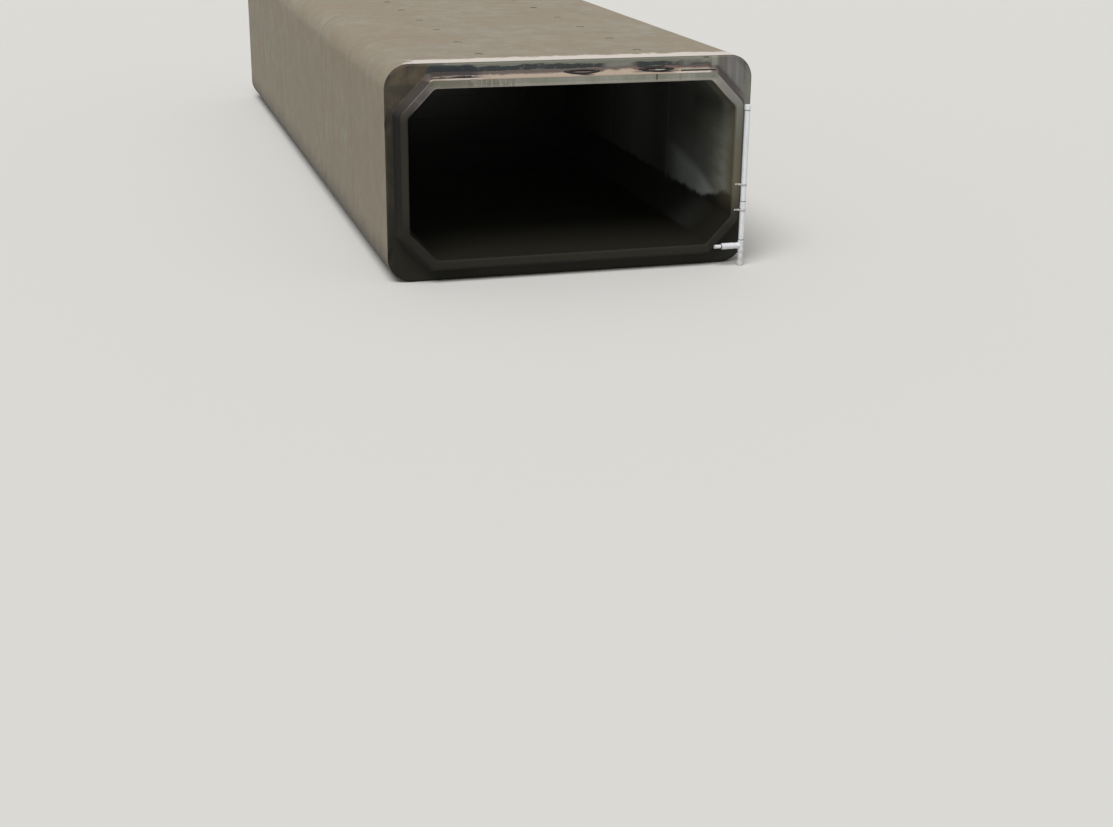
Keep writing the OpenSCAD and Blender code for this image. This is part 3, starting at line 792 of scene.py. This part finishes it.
def grid_faces(rows, columns, close_rows, close_columns):
    """Four-cornered faces of a grid, closed on itself where asked."""
    v, u = np.meshgrid(np.arange(rows - (not close_rows)), np.arange(columns - (not close_columns)),
                       indexing="ij")
    v2, u2 = (v + 1) % rows, (u + 1) % columns
    faces = [v * columns + u, v * columns + u2, v2 * columns + u2, v2 * columns + u]
    return np.stack(faces, -1).reshape(-1, 4)


def make_piece(name, points, faces, materials, numbers=None):
    """Puts arrays of points and faces into a mesh object with its normals outwards, riding on the part."""
    mesh = bpy.data.meshes.new(name)
    points = np.asarray(points, float).reshape(-1, 3)
    faces = np.asarray(faces)
    a, b, c = (points[faces[:, i]] for i in (0, 1, 2))
    d = points[faces[:, -1]]
    volume = np.einsum("ij,ij->", a, np.cross(b, c)) + np.einsum("ij,ij->", a, np.cross(c, d))
    if volume < 0:
        faces = faces[:, ::-1]
    mesh.from_pydata(points, [], faces.tolist())
    for material in materials:
        mesh.materials.append(material)
    if numbers is not None:
        mesh.polygons.foreach_set("material_index", np.asarray(numbers, np.int32))
    mesh.polygons.foreach_set("use_smooth", [True] * len(faces))
    mesh.update()
    piece = put(name, mesh)
    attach(piece, "root")
    return piece


def hole_cutters(s, tip):
    """Cones through one roof slab at its lifting holes: circles at two heights, joined and capped."""
    sides = 32
    turn = np.linspace(0, 2 * np.pi, sides, endpoint=False)
    past = 20 * MM
    slab = (TOP_Z - s.rise) / 2
    slope = (s.hole_top - s.hole_low) / 2 / slab
    middle = tip + (SHOULDER_Y - TIP_Y) + LAYING / 2
    ends = ((TOP_Z - slab - past, s.hole_low / 2 - slope * past),
            (TOP_Z + past, s.hole_top / 2 + slope * past))
    points, faces = [], []
    for sx, sy in ((-1, -1), (-1, 1), (1, -1), (1, 1)):
        x, y = sx * s.hole_across / 2, middle + sy * s.hole_along / 2
        low = 2 * sides * len(faces)
        high = low + sides
        for z, r in ends:
            points.append(np.stack([x + r * np.cos(turn), y + r * np.sin(turn), np.full(sides, z)], -1))
        faces.append([[*range(high - 1, low - 1, -1)], [*range(high, high + sides)]]
                     + [[low + i, low + (i + 1) % sides, high + (i + 1) % sides, high + i]
                        for i in range(sides)])
    mesh = bpy.data.meshes.new("hole_cutters")
    mesh.from_pydata(np.concatenate(points), [], sum(faces, []))
    return put("hole_cutters", mesh)


def cut_holes(piece, cutter):
    """Takes the cutter out of the piece and keeps creases over 35 degrees sharp."""
    cut = piece.modifiers.new("lifting_holes", "BOOLEAN")
    cut.operation, cut.solver, cut.object = "DIFFERENCE", "MANIFOLD", cutter
    depsgraph = bpy.context.evaluated_depsgraph_get()
    mesh = bpy.data.meshes.new_from_object(piece.evaluated_get(depsgraph))
    piece.modifiers.clear()
    piece.data = mesh
    mesh.set_sharp_from_angle(angle=math.radians(35))
    bpy.data.objects.remove(cutter)


class Dressing:
    """What the steps share: they can be undone, and some of them give CAD nodes their finish."""

    bl_options = {"REGISTER", "UNDO"}

    @staticmethod
    def dress(slot, material):
        """Gives the CAD nodes of that slot their finish."""
        for name in nodes_of(slot):
            mesh = frame["nodes"][name].data
            mesh.materials.clear()
            mesh.materials.append(material)


class CULVERT_OT_sections(Dressing, Operator):
    """Builds the worn concrete sections, each as one closed surface with its lifting holes"""

    bl_idname = "culvert.sections"
    bl_label = "Concrete sections"

    def execute(self, context):
        s, c = context.scene.culvert_sizes, context.scene.culvert_colours
        inner, formed, buried = inner_concrete(c), formed_concrete(c), buried_concrete(c)
        shoulder, ledge, rim = shoulder_concrete(c), ledge_concrete(c), rim_concrete(c)
        # Along the profile: waterway, groove's end and slope, back, outside, shoulder's chamfer, shoulder,
        # tongue's slope, tongue's tip and the tip's chamfer
        outlet = [inner, formed, formed, formed, buried, shoulder, shoulder, ledge, rim, rim]
        hidden = [inner, formed, formed, formed, buried, buried, formed, formed, formed, inner]
        for number, node in enumerate(nodes_of("concrete")):
            low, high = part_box(node)
            corners = section_corners(s, low.y, high.y)
            points, lines, zones = section_surface(corners, s.barrel_step if number else s.outlet_step)
            bites = BARREL_BITES if number else OUTLET_BITES
            points = bitten(points, lines, s.chip, bites, BITE_SEED + number)
            points = worn(points, WEAR_SEED + SEEDS_APART * number)
            rows, columns = points.shape[:2]
            by_edge = hidden if number else outlet
            finishes = list(dict.fromkeys(by_edge))
            numbers = np.array([finishes.index(finish) for finish in by_edge])[zones]
            piece = make_piece("worn_" + node, points, grid_faces(rows, columns, True, True), finishes,
                               np.repeat(numbers, columns))
            cut_holes(piece, hole_cutters(s, low.y))
            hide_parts(node)
        return {"FINISHED"}


class CULVERT_OT_joints(Dressing, Operator):
    """Gives the joint mortar, the hole plugs and the joint mastic their finishes"""

    bl_idname = "culvert.joints"
    bl_label = "Joints and plugs"

    def execute(self, context):
        c = context.scene.culvert_colours
        self.dress("mortar", mortar_finish(c))
        self.dress("mastic", mastic_finish(c))
        return {"FINISHED"}


class CULVERT_OT_gauge_pipe(Dressing, Operator):
    """Gives the gauge pipe, its fittings, straps and anchors their finishes"""

    bl_idname = "culvert.gauge_pipe"
    bl_label = "Gauge pipe"

    def execute(self, context):
        c = context.scene.culvert_colours
        self.dress("pvc", pipe_finish(c))
        self.dress("strap", strap_finish(c))
        self.dress("zinc_steel", zinc_finish(c))
        return {"FINISHED"}


def ledge_plane(s, across):
    """Height of the tongue's upper slope, and its place along Y, at a share of the way from lip to root."""
    lip = (TOP_Z + s.rise) / 2 + s.tongue_tip
    return lip + s.tongue_taper * across, TIP_Y + (SHOULDER_Y - TIP_Y) * across


def silt_height(s, x, across):
    """Depth of silt on the ledge: a drift against the shoulder that falls off as the fourth power towards
    the lip and swells and thins along it, and a film of a few millimetres that wanders."""
    slope = 0.14
    place = np.stack([x, across * slope, np.zeros_like(x)], -1)
    drift = s.silt_depth * across ** 4 * (0.35 + 1.1 * value_noise(place, 0.21, 3))
    film = 4 * MM * value_noise(place, 0.05, 5) + 3 * MM * value_noise(place, 0.014, 6) - 2.6 * MM
    return drift + film * np.clip(across / 0.25, 0, 1)


class CULVERT_OT_ledge_silt(Dressing, Operator):
    """Lays a drift of dried silt and a scatter of pebbles on the ledge above the opening"""

    bl_idname = "culvert.ledge_silt"
    bl_label = "Silt and pebbles"

    def execute(self, context):
        s, c = context.scene.culvert_sizes, context.scene.culvert_colours
        end = waterway(s, s.tongue_tip)[2, 0] - 20 * MM
        steps_along, steps_across = 420, 26
        x, across = np.meshgrid(np.linspace(-end, end, steps_along), np.linspace(0.04, 1, steps_across),
                                indexing="ij")
        base, y = ledge_plane(s, across)
        sunk = 1 * MM
        top = np.stack([x, y, base + silt_height(s, x, across) - sunk], -1)
        low = np.stack([x, y, base - 5 * sunk], -1)
        rows, columns = x.shape
        upper = grid_faces(rows, columns, False, False)
        lower = upper[:, ::-1] + rows * columns
        index = np.arange(rows * columns).reshape(rows, columns)
        rim = np.concatenate([index[0, :-1], index[:-1, -1], index[-1, :0:-1], index[:0:-1, 0]])
        after = np.roll(rim, -1)
        wall = np.stack([after, rim, rim + rows * columns, after + rows * columns], -1)
        make_piece("ledge_silt", np.concatenate([top.reshape(-1, 3), low.reshape(-1, 3)]),
                   np.concatenate([upper, lower, wall]), [silt_finish(c)])
        self.scatter(s, c)
        return {"FINISHED"}

    def scatter(self, s, c):
        """Pebbles: balls whose radius noise changes, flattened, turned, and laid on the silt."""
        random = np.random.default_rng(PEBBLE_SEED)
        count, columns, rows = s.pebble_count, 8, 7
        turn, rise = np.meshgrid(np.linspace(0, 2 * np.pi, columns, endpoint=False),
                                 np.linspace(0, np.pi, rows), indexing="ij")
        ball = np.stack([np.cos(turn) * np.sin(rise), np.sin(turn) * np.sin(rise), np.cos(rise)], -1)
        radius = 4 * MM + 8 * MM * random.power(0.35, count)
        across = np.clip(random.beta(3.0, 1.2, count), 0.1, 0.86)
        x = random.uniform(-0.9, 1.4, count)
        base, y = ledge_plane(s, across)
        spin = random.uniform(0, np.pi, count)
        shape = random.uniform(0.6, 1.25, (count, 3)) * [1, 1, 0.8]
        bumps = value_noise(ball[None] * 1.3 + random.uniform(0, 50, (count, 1, 1, 3)), 1.0, 9)
        stones = ball[None] * (0.7 + 0.6 * bumps)[..., None] * shape[:, None, None]
        cos, sin = np.cos(spin)[:, None, None], np.sin(spin)[:, None, None]
        stones = np.stack([stones[..., 0] * cos - stones[..., 1] * sin,
                           stones[..., 0] * sin + stones[..., 1] * cos,
                           stones[..., 2]], -1) * radius[:, None, None, None]
        height = base + silt_height(s, x, across) + 0.4 * radius
        stones += np.stack([x, y, height], -1)[:, None, None]
        faces = grid_faces(columns, rows, True, False)
        faces = (faces[None] + columns * rows * np.arange(count)[:, None, None]).reshape(-1, 4)
        piece = make_piece("ledge_pebbles", stones, faces, [pebble_finish(c)])
        weld = piece.modifiers.new("poles", "WELD")
        weld.merge_threshold = 0.01 * MM


class CULVERT_OT_stage(Dressing, Operator):
    """Lays the floor, the soft lights, the backdrop and the camera"""

    bl_idname = "culvert.stage"
    bl_label = "Stage and camera"

    def execute(self, context):
        scene, stage = context.scene, context.scene.culvert_stage
        self.floor(stage)
        self.world(scene, stage)
        self.key_light(stage)
        self.camera(scene, stage)
        scene.view_settings.view_transform = "Standard"
        return {"FINISHED"}

    def floor(self, stage):
        """A plain sheet, square and level, just below the underside."""
        reach = 150
        level = cad_box[0].z - 1 * MM
        mesh = bpy.data.meshes.new("floor")
        mesh.from_pydata([(-reach, -reach, level), (reach, -reach, level), (reach, reach, level),
                          (-reach, reach, level)], [], [(0, 1, 2, 3)])
        # Floor paint: one plain matt tone
        mesh.materials.append(coated(begin("plain_matt_floor")[0], stage.floor, 0.9))
        put("floor", mesh)

    def world(self, scene, stage):
        """Even light from all round; the camera, gloss and glass see the pale backdrop instead."""
        world = bpy.data.worlds.new("studio")
        world.use_nodes = True
        tree = world.node_tree
        tree.nodes.clear()
        fill = add(tree, "Background", {"Color": (1, 1, 1), "Strength": stage.sky})
        seen = add(tree, "Background", {"Color": stage.backdrop, "Strength": 1})
        shows = add(tree, "LightPath", out="Is Camera Ray")
        rays = shows.node.outputs
        for kind in ("Is Glossy Ray", "Is Transmission Ray"):
            shows = add(tree, "Math", {0: shows, 1: rays[kind]}, operation="MAXIMUM")
        add(tree, "OutputWorld", {"Surface": add(tree, "MixShader", {0: shows, 1: fill, 2: seen})})
        scene.world = world

    def key_light(self, stage):
        """A wide soft light from high on the left, in front of the outlet."""
        light = bpy.data.lights.new("key", "SUN")
        light.energy = stage.sun
        light.angle = math.radians(35)
        towards = Vector((-0.30, -0.42, 1.0))
        put("key", light).rotation_euler = towards.to_track_quat("Z", "Y").to_euler()

    def camera(self, scene, stage):
        """Turns the camera down, then to the right, and rolls it about its own axis."""
        lens = bpy.data.cameras.new("camera")
        lens.lens = stage.lens
        lens.sensor_width = 36
        lens.shift_x, lens.shift_y = stage.shift
        lens.clip_end = 500
        down, right, roll = stage.turn
        turn = (Matrix.Rotation(-right, 4, "Z") @ Matrix.Rotation(math.pi / 2 - down, 4, "X")
                @ Matrix.Rotation(roll, 4, "Z"))
        scene.camera = put("camera", lens)
        scene.camera.matrix_world = Matrix.Translation(stage.eye) @ turn


class CULVERT_PT_panel(Panel):
    """Lists the culvert's steps and settings in the sidebar"""

    bl_label = "Culvert outlet"
    bl_idname = "CULVERT_PT_panel"
    bl_space_type = "VIEW_3D"
    bl_region_type = "UI"
    bl_category = "Culvert"

    def draw(self, context):
        for step in STEPS:
            self.layout.operator(step.bl_idname)
        for group_name, kind in GROUPS.items():
            for name in kind.__annotations__:
                self.layout.prop(getattr(context.scene, group_name), name)


GROUPS = {"culvert_sizes": CulvertSizes, "culvert_colours": CulvertColours, "culvert_stage": CulvertStage}
STEPS = [CULVERT_OT_stage, CULVERT_OT_sections, CULVERT_OT_joints, CULVERT_OT_gauge_pipe,
         CULVERT_OT_ledge_silt]
CLASSES = [*GROUPS.values(), *STEPS, CULVERT_PT_panel]


def register():
    for item in CLASSES:
        bpy.utils.register_class(item)
    for name, group in GROUPS.items():
        setattr(bpy.types.Scene, name, PointerProperty(type=group))


def unregister():
    for name in GROUPS:
        delattr(bpy.types.Scene, name)
    for item in reversed(CLASSES):
        bpy.utils.unregister_class(item)


def main():
    """Registers the add-on and runs its steps in order."""
    register()
    for step in STEPS:
        group, name = step.bl_idname.split(".")
        getattr(getattr(bpy.ops, group), name)()


if __name__ == "__main__":
    main()
